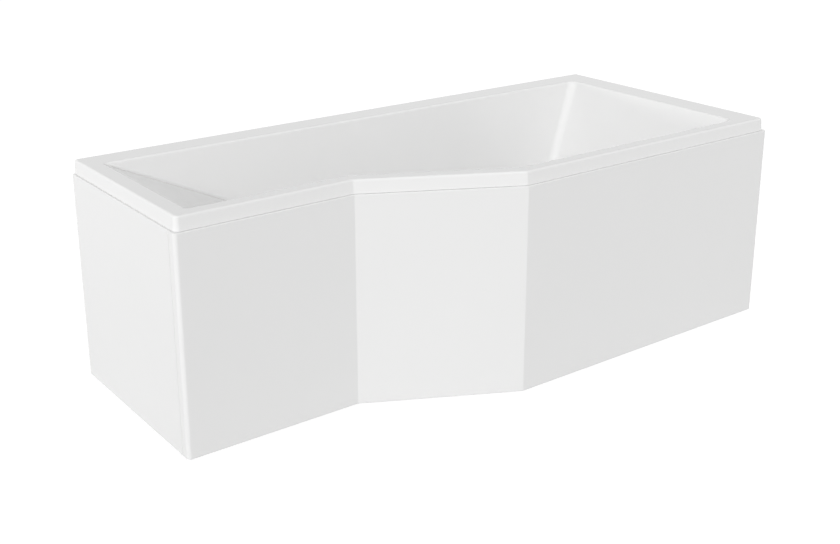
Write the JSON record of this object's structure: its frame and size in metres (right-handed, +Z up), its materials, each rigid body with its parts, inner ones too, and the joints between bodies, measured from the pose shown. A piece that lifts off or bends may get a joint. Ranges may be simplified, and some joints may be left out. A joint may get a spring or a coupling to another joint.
{
  "type": "corner bathtub",
  "caption": "Asymmetric corner bathtub with a sloping backrest, folded front apron and end panel, on a steel leg frame with levelling feet, pop-up waste and turning overflow knob.",
  "frame": {"origin": "on the floor, in the middle of the bath's overall outline", "axes": "+X along the bath to its wide end, +Y to the wall behind it, +Z up"},
  "size_m": [1.7, 0.75, 0.57],
  "materials": {
    "acrylic": "high gloss white sheet",
    "glass_fibre": "rough chopped strand laminate",
    "chipboard": "raw pressed chips",
    "batten_wood": "sawn softwood",
    "galvanised_steel": "galvanised",
    "zinc_steel": "bright zinc plated",
    "foot_plastic": "black moulded",
    "joiner_plastic": "white moulded",
    "pad_rubber": "matt",
    "seal_rubber": "matt",
    "chrome": "polished",
    "waste_plastic": "white moulded",
    "nut_plastic": "grey moulded",
    "crank_brass": "turned",
    "cable_sheath": "black sheath"
  },
  "bodies": {
    "bath": {"back_posts": "galvanised_steel", "backrest_pads": "pad_rubber", "backrest_post_back": "galvanised_steel", "backrest_post_front": "galvanised_steel", "base_board": "chipboard", "bath_shell": "acrylic", "board_screws": "zinc_steel", "bowden_cable": "cable_sheath", "corner_joiner": "joiner_plastic", "crossbar_left": "galvanised_steel", "crossbar_mid": "galvanised_steel", "crossbar_right": "galvanised_steel", "end_panel": "acrylic", "foot_nuts": "zinc_steel", "front_panel": "acrylic", "front_struts": "galvanised_steel", "grp_backing": "glass_fibre", "overflow_elbow": "waste_plastic", "overflow_pipe": "waste_plastic", "overflow_rosette": "chrome", "overflow_seal": "seal_rubber", "panel_clips": "galvanised_steel", "panel_glides": "joiner_plastic", "pipe_nuts": "nut_plastic", "rail_back": "galvanised_steel", "rail_front": "galvanised_steel", "rim_batten_back": "batten_wood", "rim_batten_left": "batten_wood", "rim_batten_narrow": "batten_wood", "rim_batten_right": "batten_wood", "rim_batten_slant": "batten_wood", "rim_batten_wide": "batten_wood", "small_screws": "zinc_steel", "wall_bracket_mid": "galvanised_steel", "wall_bracket_right": "galvanised_steel", "waste_body": "waste_plastic", "waste_flange": "chrome", "waste_seal": "seal_rubber"},
    "knob": {"overflow_knob": "chrome"},
    "plug": {"drain_plug": "chrome", "plug_seal": "seal_rubber"},
    "crank": {"lift_crank": "crank_brass"},
    "trap": {"trap_cup": "waste_plastic", "trap_nut": "nut_plastic", "trap_cap": "waste_plastic", "outlet_pipe": "waste_plastic", "outlet_nut": "nut_plastic"},
    "foot_back_left": {"foot_stud_back_left": "zinc_steel", "foot_pad_back_left": "foot_plastic"},
    "foot_front_left": {"foot_stud_front_left": "zinc_steel", "foot_pad_front_left": "foot_plastic"},
    "foot_back_mid": {"foot_stud_back_mid": "zinc_steel", "foot_pad_back_mid": "foot_plastic"},
    "foot_front_mid": {"foot_stud_front_mid": "zinc_steel", "foot_pad_front_mid": "foot_plastic"},
    "foot_back_right": {"foot_stud_back_right": "zinc_steel", "foot_pad_back_right": "foot_plastic"},
    "foot_front_right": {"foot_stud_front_right": "zinc_steel", "foot_pad_front_right": "foot_plastic"}
  },
  "joints": [
    {"name": "overflow_knob_turn", "type": "hinge", "parent": "bath", "child": "knob", "pos_m": [0.33333, -0.32011, 0.48], "axis": [0, 0.9952, 0.0983], "range_deg": [0, 90]},
    {"name": "plug_lift", "type": "slide", "parent": "bath", "child": "plug", "axis": [0, 0, 1], "range_m": [0, 0.009]},
    {"name": "crank_turn", "type": "hinge", "parent": "bath", "child": "crank", "pos_m": [0.33333, -0.198, 0.106], "axis": [1, 0, 0], "range_deg": [0, 45]},
    {"name": "trap_swivel", "type": "hinge", "parent": "bath", "child": "trap", "pos_m": [0.33333, -0.185, 0.057], "axis": [0, 0, 1], "range_deg": [-10, 10]},
    {"name": "foot_back_left_height", "type": "slide", "parent": "bath", "child": "foot_back_left", "axis": [0, 0, -1], "range_m": [-0.012, 0.012]},
    {"name": "foot_front_left_height", "type": "slide", "parent": "bath", "child": "foot_front_left", "axis": [0, 0, -1], "range_m": [-0.012, 0.012]},
    {"name": "foot_back_mid_height", "type": "slide", "parent": "bath", "child": "foot_back_mid", "axis": [0, 0, -1], "range_m": [-0.012, 0.012]},
    {"name": "foot_front_mid_height", "type": "slide", "parent": "bath", "child": "foot_front_mid", "axis": [0, 0, -1], "range_m": [-0.012, 0.012]},
    {"name": "foot_back_right_height", "type": "slide", "parent": "bath", "child": "foot_back_right", "axis": [0, 0, -1], "range_m": [-0.012, 0.012]},
    {"name": "foot_front_right_height", "type": "slide", "parent": "bath", "child": "foot_front_right", "axis": [0, 0, -1], "range_m": [-0.012, 0.012]}
  ],
  "couplings": [
    {"joint": "plug_lift", "follows": "overflow_knob_turn", "m_per_rad": 0.005729},
    {"joint": "crank_turn", "follows": "overflow_knob_turn", "ratio": 0.5}
  ]
}
